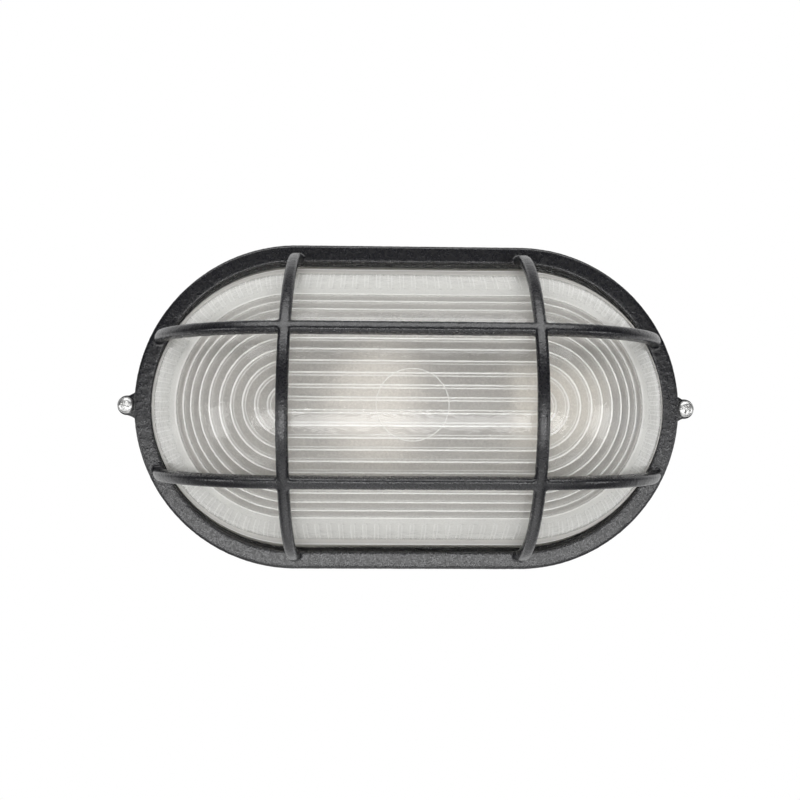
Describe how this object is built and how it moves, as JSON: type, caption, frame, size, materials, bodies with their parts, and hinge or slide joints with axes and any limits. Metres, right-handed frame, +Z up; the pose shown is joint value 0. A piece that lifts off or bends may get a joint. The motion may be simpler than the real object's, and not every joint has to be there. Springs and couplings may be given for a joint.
{
  "type": "oval bulkhead wall lamp",
  "caption": "Oval bulkhead wall lamp: black cast base and cover with an integral guard cage, over a ribbed frosted glass dome, with a porcelain lampholder and opal bulb inside.",
  "frame": {"origin": "centre of the back face, on the wall", "axes": "+X along the oval to the right as seen from the front, +Y into the wall, +Z up the wall; the lamp faces -Y"},
  "size_m": [0.2918, 0.1126, 0.16],
  "materials": {
    "black_coat": "fine-textured matt black powder coat on cast aluminium",
    "diffuser": "pressed glass, smooth outside, ribbed and frosted inside",
    "rubber": "matt black",
    "zinc": "bright zinc plate",
    "nylon": "natural nylon",
    "reflector_sheet": "bright sheet",
    "porcelain": "glazed, warm white",
    "brass": "plain",
    "opal_glass": "opal white",
    "brown_sleeve": "plain",
    "blue_sleeve": "plain"
  },
  "bodies": {
    "root": {"base_housing": "black_coat", "cover_cage": "black_coat", "diffuser_glass": "diffuser", "glass_gasket": "rubber", "entry_grommet": "rubber", "cover_screw_left": "zinc", "cover_screw_right": "zinc", "retaining_washer_left": "nylon", "retaining_washer_right": "nylon", "reflector": "reflector_sheet", "reflector_screw_top": "zinc", "reflector_screw_bottom": "zinc", "holder_bracket": "zinc", "bracket_screw_top": "zinc", "bracket_screw_bottom": "zinc", "lampholder_body": "porcelain", "lampholder_shell": "brass", "lampholder_contact": "brass", "holder_screw_front": "zinc", "holder_screw_rear": "zinc", "bulb": "opal_glass", "terminal_block": "porcelain", "block_screw": "zinc", "terminal_screw_live": "brass", "terminal_screw_neutral": "brass", "live_wire": "brown_sleeve", "neutral_wire": "blue_sleeve", "earth_washer": "brass", "earth_screw": "brass"}
  },
  "joints": []
}
